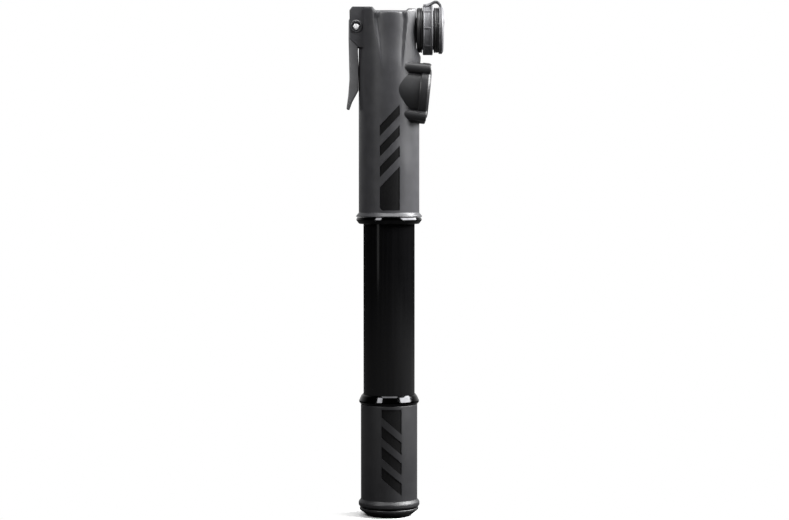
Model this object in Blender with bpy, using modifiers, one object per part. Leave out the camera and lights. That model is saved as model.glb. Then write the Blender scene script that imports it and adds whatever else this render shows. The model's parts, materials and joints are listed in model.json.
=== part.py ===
"""Bicycle mini pump: head with a lever-locked valve chuck and a gauge, telescoping
barrel, and a handle that slides on the barrel.

Frame: the pump stands upright, its axis is Z and the origin is the centre of the end
cap's flat face. The valve chuck and the gauge point to +X, the thumb lever to -X.
Sizes are in metres; MM turns millimetres into metres.
"""
import math

import bmesh
import bpy
from mathutils import Euler, Vector

MM = 0.001
GAP = 0.3 * MM                    # gap between pieces that touch
MERGE = 0.01 * MM                 # merge distance of every Screw and Weld modifier

# Barrel and the head's long sleeve
BARREL_RADIUS = 14.1 * MM
BARREL_BORE = 12.6 * MM
BARREL_BOTTOM = 15.5 * MM
BARREL_TOP = 213.4 * MM
BODY_RADIUS = 16.65 * MM
BODY_BORE = 14.4 * MM
BODY_BOTTOM = 164.8 * MM
LIP_RADIUS = 18.1 * MM            # flared lip of the sleeve, and the collar under it
LIP_HEIGHT = 2.2 * MM
COLLAR_BOTTOM = 160.9 * MM

# Head
HEAD_TOP = 276.9 * MM
HEAD_SHOULDER = 262.0 * MM        # above this the head narrows
HEAD_FLAT_X = 14.9 * MM           # flat side of the head, behind the chuck nut
FLAT_BOTTOM = 256.4 * MM
LEDGE_TOP = 252.4 * MM            # the flat side flares out to a ledge above the gauge
LEVER_BLOCK_TOP = 279.2 * MM
LEVER_BLOCK_BOTTOM = 257.4 * MM
CHUCK_BLOCK_TOP = 278.1 * MM
EAR_HALF_WIDTH = 9.5 * MM
SLOT_HALF_WIDTH = 6.1 * MM
NECK_RADIUS = 8.8 * MM
NECK_END = 24.4 * MM
DUCT_RADIUS = 2.5 * MM

# Handle, rod and piston
HANDLE_RADIUS = 15.56 * MM
HANDLE_BORE = 14.7 * MM
HANDLE_BOTTOM = 5.3 * MM
HANDLE_TOP = 61.6 * MM
HANDLE_COLLAR_TOP = 67.1 * MM
PLUG_RADIUS = 14.4 * MM
PLUG_TOP = 12.0 * MM
ROD_RADIUS = 3.6 * MM
ROD_NECK = 3.0 * MM               # where the rod passes through the piston
ROD_BOTTOM = 7.3 * MM
PISTON_RADIUS = 12.1 * MM
PISTON_TOP = 206.0 * MM
PISTON_LENGTH = 11.0 * MM
SELECTOR_RADIUS = 16.2 * MM
SELECTOR_TOP = 4.5 * MM
STEM_RADIUS = 2.7 * MM
SCALLOPS = 10

# Blocks in the barrel, and the seals in their grooves
BLOCK_RADIUS = 12.3 * MM
BLOCK_TOP = 213.1 * MM
BLOCK_BOTTOM = 206.8 * MM
GUIDE_TOP = 29.0 * MM
GUIDE_BOTTOM = 13.4 * MM
GROOVE_RADIUS = 10.2 * MM
GROOVE_HALF = 1.2 * MM
SEAL_RING = 11.4 * MM
SEAL_CORD = 0.85 * MM
VALVE_DISC = 4.0 * MM

# Thumb lever
PIN_X = -17.85 * MM
PIN_Z = 268.4 * MM
PIN_RADIUS = 1.6 * MM
PIN_HALF = 9.9 * MM
BUSH_INSIDE = 6.4 * MM
BUSH_OUTSIDE = 9.6 * MM
BUSH_WALL = 0.5 * MM
CAM_LOW = 3.8 * MM                # cam radius with the lever down
CAM_LIFT = 2.0 * MM               # how much the cam rises in a quarter turn
LEVER_HALF_WIDTH = 5.6 * MM
LEVER_WALL = 1.2 * MM

# Valve chuck, and the dust cap on its ring
CHUCK_Z = 266.9 * MM              # axis of the chuck, along X
NUT_START = 16.0 * MM
NUT_END = 28.1 * MM
NUT_RADIUS = 12.3 * MM
NUT_WAIST = 10.6 * MM
NUT_BORE = 9.1 * MM
VALVE_HOLE = 4.5 * MM
PLUNGER_RADIUS = 5.3 * MM
PLUNGER_WAIST = 2.6 * MM
PLUNGER_FRONT = 14.4 * MM
GROMMET_BORE = 4.1 * MM
GROMMET_BACK = 17.0 * MM
GROMMET_FRONT = 25.6 * MM
RING_RADIUS = 13.6 * MM
RING_CHANNEL = 13.0 * MM
RING_START = 18.5 * MM
RING_END = 23.9 * MM
CAP_RADIUS = 12.9 * MM
CAP_BACK = 28.4 * MM
STRAP_HALF_WIDTH = 3.5 * MM
STRAP_TOP = 283.0 * MM
STRAP_THICKNESS = 1.3 * MM
HINGE_X = 25.75 * MM              # living hinge of the cap, on the strap's upper face
HINGE_HALF_GAP = 0.35 * MM

# Gauge, measured along its axis from its front plane
GAUGE_X = 21.55 * MM
GAUGE_Z = 232.2 * MM
GAUGE_TILT = math.radians(5.8)    # the gauge looks slightly down
GAUGE_RADIUS = 15.8 * MM
GAUGE_BORE = 14.1 * MM
GAUGE_FRONT = -0.6 * MM
GAUGE_FLOOR = -8.5 * MM
GAUGE_BACK = -16.6 * MM           # the drum is sunk into the head
FLANGE_RADIUS = 16.7 * MM
FLANGE_BACK = -3.7 * MM
BOSS_RADIUS = 3.0 * MM
BOSS_BACK = -13.6 * MM
BOSS_Y = 11.5 * MM
BOSS_Z = 12.7 * MM
SCREW_RADIUS = 1.0 * MM
SCREW_LENGTH = 5.0 * MM
PORT_RADIUS = 1.5 * MM
BEZEL_RADIUS = 13.8 * MM
LENS_RADIUS = 12.1 * MM
LENS_CROWN = 1.4 * MM
LENS_SAG = 1.7 * MM
LENS_THICKNESS = 1.1 * MM
DIAL_FRONT = -3.8 * MM
DIAL_THICKNESS = 0.8 * MM
NEEDLE_LENGTH = 10.0 * MM
NEEDLE_BACK = -3.2 * MM
NEEDLE_FRONT = -2.4 * MM
SPINDLE_RADIUS = 0.6 * MM
BOURDON_RADIUS = 8.5 * MM
BOURDON_THICKNESS = 0.9 * MM
BOURDON_PLANE = -6.6 * MM

ROUND = 32                        # steps round a large turned piece
SMALL = 16                        # steps round a small one
TINY = 10                         # steps round a hole or a screw

ALONG_X = Euler((0, math.pi / 2, 0))
ALONG_Y = Euler((-math.pi / 2, 0, 0))
ALONG_Z = Euler((0, 0, 0))
OFF_SEAM = Euler((0, 0, math.radians(3)))    # along Z, with no edge in line with another's
ALONG_GAUGE = Euler((0, math.pi / 2 + GAUGE_TILT, 0))

COLOURS = {                       # colour, metallic, roughness
    "moulded_grey": ((0.050, 0.050, 0.053), 0.0, 0.45),
    "moulded_black": ((0.012, 0.012, 0.013), 0.0, 0.40),
    "gloss_black": ((0.006, 0.006, 0.007), 0.6, 0.15),
    "soft_grey": ((0.32, 0.32, 0.33), 0.0, 0.60),
    "steel": ((0.62, 0.62, 0.62), 1.0, 0.25),
    "brass": ((0.55, 0.38, 0.14), 1.0, 0.30),
    "rubber": ((0.010, 0.010, 0.010), 0.0, 0.80),
    "clear": ((0.80, 0.82, 0.84), 0.0, 0.05),
    "dial_white": ((0.75, 0.75, 0.73), 0.0, 0.50),
    "signal_red": ((0.55, 0.03, 0.02), 0.0, 0.40),
}


# ---------------------------------------------------------------- scene helpers

def empty_scene():
    """Remove every object, and make the collections for the pump and its cutters."""
    for old in list(bpy.data.objects):
        bpy.data.objects.remove(old)
    collections = []
    for name in ("mini_pump", "cutters"):
        collection = bpy.data.collections.new(name)
        bpy.context.scene.collection.children.link(collection)
        collections.append(collection)
    return collections


def material(name):
    """Return the named Principled material, made on first use."""
    if name in bpy.data.materials:
        return bpy.data.materials[name]
    colour, metallic, roughness = COLOURS[name]
    made = bpy.data.materials.new(name)
    made.use_nodes = True
    shader = made.node_tree.nodes["Principled BSDF"]
    shader.inputs["Base Color"].default_value = (*colour, 1.0)
    shader.inputs["Metallic"].default_value = metallic
    shader.inputs["Roughness"].default_value = roughness
    return made


def add_object(name, mesh, look, place=(0, 0, 0), turn=ALONG_Z, smooth=True):
    """Put a mesh in the pump's collection, or with look None among the cutters."""
    thing = bpy.data.objects.new(name, mesh)
    thing.location = place
    thing.rotation_euler = turn
    if look is None:
        CUTTERS.objects.link(thing)
        thing.display_type = "WIRE"
        thing.hide_render = True
        return thing
    PUMP.objects.link(thing)
    mesh.materials.append(material(look))
    if smooth:
        mesh.shade_smooth()
        mesh.set_sharp_from_angle(angle=math.radians(35))
    return thing


def turned(name, profile, look, place=(0, 0, 0), turn=ALONG_Z, steps=ROUND, closed=False):
    """Turn a (radius, height) profile about local Z.

    The profile runs down the outer side. An open one starts and ends on the axis; a
    closed one goes on up the inner side, which leaves a hole through the piece.
    """
    mesh = bpy.data.meshes.new(name)
    edges = [(i, i + 1) for i in range(len(profile) - 1)]
    if closed:
        edges.append((len(profile) - 1, 0))
    mesh.from_pydata([(radius, 0, height) for radius, height in profile], edges, [])
    thing = add_object(name, mesh, look, place, turn)
    screw = thing.modifiers.new("turn", "SCREW")
    screw.steps = steps
    screw.render_steps = steps
    screw.use_merge_vertices = True
    screw.merge_threshold = MERGE
    screw.use_smooth_shade = True
    return thing


def rod(name, radius, low, high, look, place=(0, 0, 0), turn=ALONG_Z, steps=SMALL):
    """Solid cylinder on local Z, from low to high."""
    profile = [(0, high), (radius, high), (radius, low), (0, low)]
    return turned(name, profile, look, place, turn, steps)


def tube(name, outer, inner, low, high, look, place=(0, 0, 0), turn=ALONG_Z, steps=ROUND):
    """Cylinder with a hole through it, on local Z."""
    profile = [(outer, high), (outer, low), (inner, low), (inner, high)]
    return turned(name, profile, look, place, turn, steps, closed=True)


def o_ring(name, ring_radius, cord_radius, height, look, place=(0, 0, 0), turn=ALONG_Z):
    """Torus on local Z."""
    profile = []
    for i in range(8):
        angle = -2 * math.pi * i / 8
        profile.append((ring_radius + cord_radius * math.cos(angle),
                        height + cord_radius * math.sin(angle)))
    return turned(name, profile, look, place, turn, SMALL, closed=True)


def side_plate(name, outline, low_y, high_y, look):
    """Plate whose (x, z) outline, given anticlockwise seen from -Y, spans low_y to high_y."""
    form = bmesh.new()
    corners = [form.verts.new((x, low_y, z)) for x, z in outline]
    face = form.faces.new(corners)
    grown = bmesh.ops.extrude_face_region(form, geom=[face])
    moved = [item for item in grown["geom"] if isinstance(item, bmesh.types.BMVert)]
    bmesh.ops.translate(form, vec=(0, high_y - low_y, 0), verts=moved)
    bmesh.ops.recalc_face_normals(form, faces=form.faces)
    mesh = bpy.data.meshes.new(name)
    form.to_mesh(mesh)
    form.free()
    return add_object(name, mesh, look)


def combine(thing, operation, *others):
    """Add one exact Boolean modifier for each other object, and weld what it leaves."""
    for other in others:
        modifier = thing.modifiers.new(other.name, "BOOLEAN")
        modifier.operation = operation
        modifier.solver = "EXACT"
        modifier.object = other
        weld = thing.modifiers.new("weld", "WELD")
        weld.merge_threshold = MERGE


def hang(thing, name, place):
    """Parent a thing to an empty on its joint's axis, and leave it where it is."""
    axis = bpy.data.objects.new(name, None)
    axis.location = place
    PUMP.objects.link(axis)
    thing.parent = axis
    thing.location = Vector(thing.location) - Vector(place)


def arc(centre_x, centre_z, radius, start, end, steps):
    """Points of an arc in the XZ plane, angles in degrees from +X towards +Z."""
    points = []
    for i in range(steps + 1):
        angle = math.radians(start + (end - start) * i / steps)
        points.append((centre_x + radius * math.cos(angle), centre_z + radius * math.sin(angle)))
    return points


def on_gauge(y, z):
    """World place of a point on the gauge's front plane, y and z measured from its centre."""
    axes = ALONG_GAUGE.to_matrix()
    return Vector((GAUGE_X, 0, GAUGE_Z)) + axes @ Vector((-z, y, 0))


def boss_places():
    """World places of the gauge's four screw bosses, on its front plane."""
    return [on_gauge(y, z) for y in (-BOSS_Y, BOSS_Y) for z in (-BOSS_Z, BOSS_Z)]


# ---------------------------------------------------------------- head

def head_body():
    """Head and long upper sleeve, moulded in one piece."""
    sleeve = [
        (0, HEAD_TOP), (13.2 * MM, HEAD_TOP), (14.9 * MM, HEAD_TOP - 1.4 * MM),
        (BODY_RADIUS, HEAD_SHOULDER), (BODY_RADIUS, BODY_BOTTOM + LIP_HEIGHT),
        (LIP_RADIUS, BODY_BOTTOM + 0.4 * MM), (LIP_RADIUS, BODY_BOTTOM),
        (BODY_BORE, BODY_BOTTOM), (BODY_BORE, BARREL_TOP + GAP), (0, BARREL_TOP + GAP),
    ]
    body = turned("head_body", sleeve, "moulded_grey")
    combine(body, "DIFFERENCE", flat_side())
    lever_block = side_plate("lever_block", [
        (-20.6 * MM, HEAD_SHOULDER), (-16.2 * MM, LEVER_BLOCK_BOTTOM),
        (-9.0 * MM, LEVER_BLOCK_BOTTOM), (-9.0 * MM, LEVER_BLOCK_TOP),
        (-20.0 * MM, LEVER_BLOCK_TOP), (-21.4 * MM, LEVER_BLOCK_TOP - 1.8 * MM),
    ], -EAR_HALF_WIDTH, EAR_HALF_WIDTH, None)
    chuck_block = side_plate("chuck_block", [
        (9.8 * MM, 251.0 * MM), (16.9 * MM, 251.0 * MM), (16.9 * MM, 253.0 * MM),
        (HEAD_FLAT_X, 256.3 * MM), (HEAD_FLAT_X, CHUCK_BLOCK_TOP), (10.4 * MM, CHUCK_BLOCK_TOP),
    ], -EAR_HALF_WIDTH, EAR_HALF_WIDTH, None)
    neck = rod("neck", NECK_RADIUS, 8.0 * MM, NECK_END, None, (0, 0, CHUCK_Z), ALONG_X, ROUND)
    combine(body, "UNION", lever_block, chuck_block, neck)
    lever_cuts(body)
    plunger_bore = rod("plunger_bore", PLUNGER_RADIUS + GAP, -14 * MM, 30 * MM, None,
                       (0, 0, CHUCK_Z), ALONG_X, ROUND)
    air_duct = rod("air_duct", DUCT_RADIUS, BARREL_TOP - 3 * MM, CHUCK_Z, None, turn=OFF_SEAM)
    combine(body, "DIFFERENCE", plunger_bore, air_duct)
    gauge_pockets(body)


def flat_side():
    """Cutter for the head's flat side and the slope under it."""
    flat_x = HEAD_FLAT_X - 0.15 * MM
    return side_plate("flat", [
        (flat_x, FLAT_BOTTOM), (17.2 * MM, LEDGE_TOP), (30 * MM, LEDGE_TOP),
        (30 * MM, 290 * MM), (flat_x, 290 * MM),
    ], -20 * MM, 20 * MM, None)


def lever_cuts(body):
    """Cut the slot that the lever swings in, and the hole for its pin and bushes."""
    slot_round = arc(PIN_X, PIN_Z, CAM_LOW + CAM_LIFT + 0.5 * MM, -80, 80, 20)
    lever_slot = side_plate("lever_slot", slot_round + [
        (-17.0 * MM, 274.9 * MM), (-30 * MM, 274.9 * MM), (-30 * MM, 250 * MM),
        (-16.75 * MM, 250 * MM),
    ], -SLOT_HALF_WIDTH, SLOT_HALF_WIDTH, None)
    pin_hole = rod("pin_hole", PIN_RADIUS + GAP + BUSH_WALL + GAP, -12 * MM, 12 * MM, None,
                   (PIN_X, 0, PIN_Z), ALONG_Y)
    combine(body, "DIFFERENCE", lever_slot, pin_hole)


def gauge_pockets(body):
    """Cut the room for the gauge's drum, flange and bosses, and its pressure port."""
    outside = 5 * MM
    centre = on_gauge(0, 0)
    drum = rod("drum_pocket", GAUGE_RADIUS + GAP, GAUGE_BACK - GAP, outside, None, centre,
               ALONG_GAUGE, ROUND)
    flange = rod("flange_pocket", FLANGE_RADIUS + GAP, FLANGE_BACK - GAP, outside, None, centre,
                 ALONG_GAUGE, ROUND)
    port = rod("port", PORT_RADIUS, -22.5 * MM, -15 * MM, None, centre, ALONG_GAUGE)
    combine(body, "DIFFERENCE", drum, flange, port)
    for place in boss_places():
        boss = rod("boss_pocket", BOSS_RADIUS + GAP, BOSS_BACK - GAP, outside, None, place,
                   ALONG_GAUGE)
        combine(body, "DIFFERENCE", boss)


def lever():
    """Thumb lever with its cam, its pin and the two bushes in the head's ears."""
    cam = []
    for i in range(9):
        angle = math.pi / 2 * i / 8
        radius = CAM_LOW + CAM_LIFT * i / 8
        cam.append((PIN_X + radius * math.cos(angle), PIN_Z + radius * math.sin(angle)))
    blade = [
        (-22.0 * MM, 272.4 * MM), (-22.0 * MM, 262.0 * MM), (-21.7 * MM, 240.0 * MM),
        (-22.2 * MM, 233.0 * MM), (-23.3 * MM, 223.6 * MM), (-21.8 * MM, 223.4 * MM),
        (-20.3 * MM, 227.8 * MM), (-17.3 * MM, 233.0 * MM), (-17.3 * MM, 256.0 * MM),
    ]
    heel = arc(PIN_X, PIN_Z, CAM_LOW, -70, -15, 4)
    crown = arc(PIN_X, PIN_Z, CAM_LOW + CAM_LIFT, 100, 130, 3)
    thumb_lever = side_plate("thumb_lever", heel + cam + crown + blade, -LEVER_HALF_WIDTH,
                             LEVER_HALF_WIDTH, "moulded_grey")
    channel = side_plate("channel", [
        (-15.0 * MM, 226.0 * MM), (-15.0 * MM, 260.5 * MM), (-20.5 * MM, 260.5 * MM),
        (-20.3 * MM, 240.0 * MM), (-20.8 * MM, 233.0 * MM), (-21.5 * MM, 226.0 * MM),
    ], -LEVER_HALF_WIDTH + LEVER_WALL, LEVER_HALF_WIDTH - LEVER_WALL, None)
    lever_hole = rod("lever_hole", PIN_RADIUS + GAP, -8 * MM, 8 * MM, None,
                     (PIN_X, 0, PIN_Z), ALONG_Y)
    combine(thumb_lever, "DIFFERENCE", channel, lever_hole)
    hang(thumb_lever, "lever_axis", (PIN_X, 0, PIN_Z))
    rod("lever_pin", PIN_RADIUS, -PIN_HALF, PIN_HALF, "steel", (PIN_X, 0, PIN_Z), ALONG_Y)
    bore = PIN_RADIUS + GAP
    for name, low, high in (("lever_bush_front", -BUSH_OUTSIDE, -BUSH_INSIDE),
                            ("lever_bush_back", BUSH_INSIDE, BUSH_OUTSIDE)):
        tube(name, bore + BUSH_WALL, bore, low, high, "moulded_black", (PIN_X, 0, PIN_Z),
             ALONG_Y, SMALL)


def chuck():
    """Valve chuck: nut, rubber grommet, and the plunger that squeezes the grommet."""
    centre = (0, 0, CHUCK_Z)
    nut = [
        (NUT_RADIUS, 27.7 * MM), (NUT_RADIUS, 24.4 * MM), (NUT_WAIST, 24.3 * MM),
        (NUT_WAIST, 18.2 * MM), (NUT_RADIUS, 18.1 * MM), (NUT_RADIUS, 16.3 * MM),
        (11.9 * MM, NUT_START), (NUT_BORE, NUT_START), (NUT_BORE, 26.0 * MM),
        (VALVE_HOLE, 26.0 * MM), (VALVE_HOLE, NUT_END), (11.9 * MM, NUT_END),
    ]
    turned("chuck_nut", nut, "moulded_black", centre, ALONG_X, closed=True)
    tube("chuck_grommet", PLUNGER_RADIUS, GROMMET_BORE, GROMMET_BACK, GROMMET_FRONT, "rubber",
         centre, ALONG_X, SMALL)
    tip = PIN_X + CAM_LOW + GAP
    plunger = [
        (0, PLUNGER_FRONT), (PLUNGER_RADIUS, PLUNGER_FRONT), (PLUNGER_RADIUS, 10.0 * MM),
        (PLUNGER_WAIST, 8.6 * MM), (PLUNGER_WAIST, -5.0 * MM), (PLUNGER_RADIUS, -5.6 * MM),
        (PLUNGER_RADIUS, -6.6 * MM), (4.2 * MM, -6.6 * MM), (4.2 * MM, -9.2 * MM),
        (PLUNGER_RADIUS, -9.2 * MM), (PLUNGER_RADIUS, -10.6 * MM), (4.4 * MM, tip), (0, tip),
    ]
    bored = turned("chuck_plunger", plunger, "moulded_black", centre, ALONG_X, SMALL)
    air_hole = rod("air_hole", 1.2 * MM, 0, 16 * MM, None, centre, ALONG_X, 12)
    cross_hole = rod("cross_hole", 1.0 * MM, -4 * MM, 4 * MM, None, (3 * MM, 0, CHUCK_Z),
                     OFF_SEAM, 12)
    combine(bored, "DIFFERENCE", air_hole, cross_hole)
    o_ring("plunger_seal", 4.95 * MM, 0.42 * MM, -7.9 * MM, "rubber", centre, ALONG_X)


def dust_cap():
    """Soft ring on the nut, its strap, and the cap that closes the valve hole."""
    centre = (0, 0, CHUCK_Z)
    ring = [
        (RING_RADIUS, RING_END - 0.2 * MM), (RING_RADIUS, RING_END - 1.0 * MM),
        (RING_CHANNEL, RING_END - 1.2 * MM), (RING_CHANNEL, RING_START + 1.2 * MM),
        (RING_RADIUS, RING_START + 1.0 * MM), (RING_RADIUS, RING_START + 0.2 * MM),
        (13.2 * MM, RING_START), (NUT_WAIST + GAP, RING_START), (NUT_WAIST + GAP, RING_END),
        (13.2 * MM, RING_END),
    ]
    holder = turned("dust_cap_ring", ring, "soft_grey", centre, ALONG_X, closed=True)
    strap = side_plate("strap", [
        (19.0 * MM, 278.6 * MM), (23.4 * MM, 278.6 * MM),
        (HINGE_X - HINGE_HALF_GAP, STRAP_TOP - STRAP_THICKNESS),
        (HINGE_X - HINGE_HALF_GAP, STRAP_TOP), (24.0 * MM, STRAP_TOP), (19.6 * MM, 280.9 * MM),
    ], -STRAP_HALF_WIDTH, STRAP_HALF_WIDTH, None)
    combine(holder, "UNION", strap)
    cap = [
        (0, 30.4 * MM), (4.0 * MM, 30.1 * MM), (CAP_RADIUS - 0.5 * MM, 29.3 * MM),
        (CAP_RADIUS, 28.9 * MM), (CAP_RADIUS, CAP_BACK), (3.6 * MM, CAP_BACK),
        (3.2 * MM, CAP_BACK - 2.0 * MM), (0, CAP_BACK - 2.0 * MM),
    ]
    lid = turned("dust_cap", cap, "soft_grey", centre, ALONG_X)
    tab = side_plate("tab", [
        (HINGE_X + HINGE_HALF_GAP, STRAP_TOP - STRAP_THICKNESS),
        (27.4 * MM, STRAP_TOP - STRAP_THICKNESS), (28.45 * MM, 280.6 * MM),
        (28.45 * MM, 272.0 * MM), (29.8 * MM, 272.0 * MM), (29.8 * MM, 281.0 * MM),
        (28.2 * MM, STRAP_TOP), (HINGE_X + HINGE_HALF_GAP, STRAP_TOP),
    ], -STRAP_HALF_WIDTH, STRAP_HALF_WIDTH, None)
    combine(lid, "UNION", tab)
    hang(lid, "cap_axis", (HINGE_X, 0, STRAP_TOP))


# ---------------------------------------------------------------- gauge

def gauge():
    """Pressure gauge on the head's side: housing, mechanism, dial, needle, lens, bezel."""
    centre = on_gauge(0, 0)
    drum = [
        (0, GAUGE_FRONT), (FLANGE_RADIUS, GAUGE_FRONT), (FLANGE_RADIUS, FLANGE_BACK),
        (GAUGE_RADIUS, FLANGE_BACK), (GAUGE_RADIUS, GAUGE_BACK), (0, GAUGE_BACK),
    ]
    housing = turned("gauge_housing", drum, "moulded_black", centre, ALONG_GAUGE)
    bosses = []
    for place in boss_places():
        bosses.append(rod("boss", BOSS_RADIUS, BOSS_BACK, 0, None, place, ALONG_GAUGE))
    combine(housing, "UNION", *bosses)
    recess = rod("recess", GAUGE_BORE, GAUGE_FLOOR, 5 * MM, None, centre, ALONG_GAUGE, ROUND)
    port = rod("port", PORT_RADIUS, -22 * MM, 0, None, centre, ALONG_GAUGE)
    combine(housing, "DIFFERENCE", recess, port)
    gauge_screws(housing)
    tube("gauge_bezel", BEZEL_RADIUS, LENS_RADIUS + GAP, -3.4 * MM, 0, "moulded_black", centre,
         ALONG_GAUGE)
    front = []
    rings = 4
    for i in range(rings + 1):
        share = i / rings
        front.append((LENS_RADIUS * share, LENS_CROWN - LENS_SAG * share * share))
    back = [(radius, height - LENS_THICKNESS) for radius, height in reversed(front)]
    turned("gauge_lens", front + back, "clear", centre, ALONG_GAUGE)
    tube("gauge_dial", GAUGE_BORE - 0.4 * MM, SPINDLE_RADIUS + 0.4 * MM,
         DIAL_FRONT - DIAL_THICKNESS, DIAL_FRONT, "dial_white", centre, ALONG_GAUGE)
    rod("needle_spindle", SPINDLE_RADIUS, GAUGE_FLOOR + 0.9 * MM, NEEDLE_BACK - GAP, "brass",
        centre, ALONG_GAUGE, TINY)
    needle()
    bourdon_tube()
    tube("gauge_port_tube", PORT_RADIUS - GAP, 0.6 * MM, -18.0 * MM, -7.9 * MM, "brass", centre,
         ALONG_GAUGE, TINY)


def gauge_screws(housing):
    """Drill a hole in each boss of the housing, and put a screw in each."""
    for number, place in enumerate(boss_places()):
        screw_hole = rod("screw_hole", SCREW_RADIUS + GAP, -SCREW_LENGTH - 1.4 * MM, 1 * MM, None,
                         place, ALONG_GAUGE, TINY)
        combine(housing, "DIFFERENCE", screw_hole)
        rod("gauge_screw_%d" % (number + 1), SCREW_RADIUS, -SCREW_LENGTH - 1.0 * MM, -1.0 * MM,
            "steel", place, ALONG_GAUGE, TINY)


def needle():
    """Gauge needle: a round hub with a long pointer and a short tail."""
    centre = on_gauge(0, 0)
    hub = rod("gauge_needle", 1.5 * MM, NEEDLE_BACK, NEEDLE_FRONT, "signal_red", centre,
              ALONG_GAUGE)
    form = bmesh.new()
    low = NEEDLE_BACK + 0.2 * MM
    corners = [(-0.9 * MM, 3.2 * MM), (0.9 * MM, 3.2 * MM), (0.25 * MM, -NEEDLE_LENGTH),
               (-0.25 * MM, -NEEDLE_LENGTH)]
    face = form.faces.new([form.verts.new((x, y, low)) for x, y in corners])
    grown = bmesh.ops.extrude_face_region(form, geom=[face])
    top = [item for item in grown["geom"] if isinstance(item, bmesh.types.BMVert)]
    bmesh.ops.translate(form, vec=(0, 0, 0.4 * MM), verts=top)
    bmesh.ops.rotate(form, cent=(0, 0, 0), verts=form.verts,
                     matrix=Euler((0, 0, math.radians(45))).to_matrix())
    bmesh.ops.recalc_face_normals(form, faces=form.faces)
    mesh = bpy.data.meshes.new("pointer")
    form.to_mesh(mesh)
    form.free()
    pointer = add_object("pointer", mesh, None, centre, ALONG_GAUGE)
    combine(hub, "UNION", pointer)


def bourdon_tube():
    """Curved pressure tube round the spindle, behind the dial."""
    curve = bpy.data.curves.new("bourdon_tube", "CURVE")
    curve.dimensions = "3D"
    curve.bevel_depth = BOURDON_THICKNESS
    curve.bevel_resolution = 1
    curve.use_fill_caps = True
    curve.render_resolution_u = 0
    spline = curve.splines.new("POLY")
    count = 14
    spline.points.add(count - 1)
    for i in range(count):
        angle = math.radians(20 + 250 * i / (count - 1))
        spline.points[i].co = (BOURDON_RADIUS * math.cos(angle), BOURDON_RADIUS * math.sin(angle),
                               BOURDON_PLANE, 1)
    thing = bpy.data.objects.new("bourdon_tube", curve)
    curve.materials.append(material("brass"))
    thing.location = on_gauge(0, 0)
    thing.rotation_euler = ALONG_GAUGE
    PUMP.objects.link(thing)


# ---------------------------------------------------------------- barrel

def barrel():
    """Barrel tube, its collar under the head, the valve block and the rod guide."""
    tube("barrel", BARREL_RADIUS, BARREL_BORE, BARREL_BOTTOM, BARREL_TOP, "gloss_black")
    collar_top = BODY_BOTTOM - GAP
    collar = [
        (LIP_RADIUS - 0.2 * MM, collar_top), (LIP_RADIUS, collar_top - 0.3 * MM),
        (LIP_RADIUS, COLLAR_BOTTOM + 2.0 * MM), (16.5 * MM, COLLAR_BOTTOM),
        (BODY_BORE, COLLAR_BOTTOM), (BODY_BORE, collar_top),
    ]
    turned("barrel_collar", collar, "gloss_black", closed=True)
    seal_height = BLOCK_BOTTOM + 2.1 * MM
    block = [(BLOCK_RADIUS, BLOCK_TOP)] + groove(BLOCK_RADIUS, seal_height) + [
        (BLOCK_RADIUS, BLOCK_BOTTOM), (1.6 * MM, BLOCK_BOTTOM), (1.6 * MM, BLOCK_BOTTOM + 3.5 * MM),
        (VALVE_DISC + 1.0 * MM, BLOCK_BOTTOM + 3.5 * MM), (VALVE_DISC + 1.0 * MM, BLOCK_TOP),
    ]
    turned("valve_block", block, "moulded_black", closed=True)
    o_ring("valve_block_seal", SEAL_RING, SEAL_CORD, seal_height, "rubber")
    disc_bottom = BLOCK_BOTTOM + 3.5 * MM + GAP
    rod("check_valve", VALVE_DISC, disc_bottom, disc_bottom + 1.2 * MM, "rubber")
    rod_guide()


def groove(radius, height):
    """Profile points of a seal groove in a block's outer side, from its top edge down."""
    return [
        (radius, height + GROOVE_HALF), (GROOVE_RADIUS, height + GROOVE_HALF),
        (GROOVE_RADIUS, height - GROOVE_HALF), (radius, height - GROOVE_HALF),
    ]


def rod_guide():
    """Guide that closes the barrel's lower end, with its seals on the tube and the rod."""
    seal_height = BARREL_BOTTOM + 4.5 * MM
    rod_hole = ROD_RADIUS + GAP
    rod_seal_bottom = GUIDE_TOP - 3.1 * MM
    guide = [(BLOCK_RADIUS, GUIDE_TOP)] + groove(BLOCK_RADIUS, seal_height) + [
        (BLOCK_RADIUS, BARREL_BOTTOM - GAP), (BARREL_RADIUS - 0.2 * MM, BARREL_BOTTOM - GAP),
        (BARREL_RADIUS - 0.2 * MM, GUIDE_BOTTOM), (rod_hole, GUIDE_BOTTOM),
        (rod_hole, rod_seal_bottom - GAP), (5.9 * MM, rod_seal_bottom - GAP),
        (5.9 * MM, GUIDE_TOP),
    ]
    turned("rod_guide", guide, "moulded_black", closed=True)
    o_ring("rod_guide_seal", SEAL_RING, SEAL_CORD, seal_height, "rubber")
    tube("rod_seal", 5.6 * MM, rod_hole, rod_seal_bottom, GUIDE_TOP - 0.4 * MM, "rubber",
         steps=SMALL)


def piston():
    """Piston, its seal and the rod that joins it to the handle."""
    bottom = PISTON_TOP - PISTON_LENGTH
    seal_height = bottom + 6.0 * MM
    head = [(PISTON_RADIUS, PISTON_TOP)] + groove(PISTON_RADIUS, seal_height) + [
        (PISTON_RADIUS, bottom), (ROD_NECK + GAP, bottom), (ROD_NECK + GAP, PISTON_TOP),
    ]
    turned("piston", head, "moulded_black", closed=True)
    o_ring("piston_seal", SEAL_RING, SEAL_CORD, seal_height, "rubber")
    shaft = [
        (0, PISTON_TOP - 0.6 * MM), (ROD_NECK, PISTON_TOP - 0.6 * MM), (ROD_NECK, bottom - GAP),
        (ROD_RADIUS, bottom - GAP), (ROD_RADIUS, ROD_BOTTOM), (0, ROD_BOTTOM),
    ]
    turned("piston_rod", shaft, "steel", steps=SMALL)


# ---------------------------------------------------------------- handle

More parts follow.
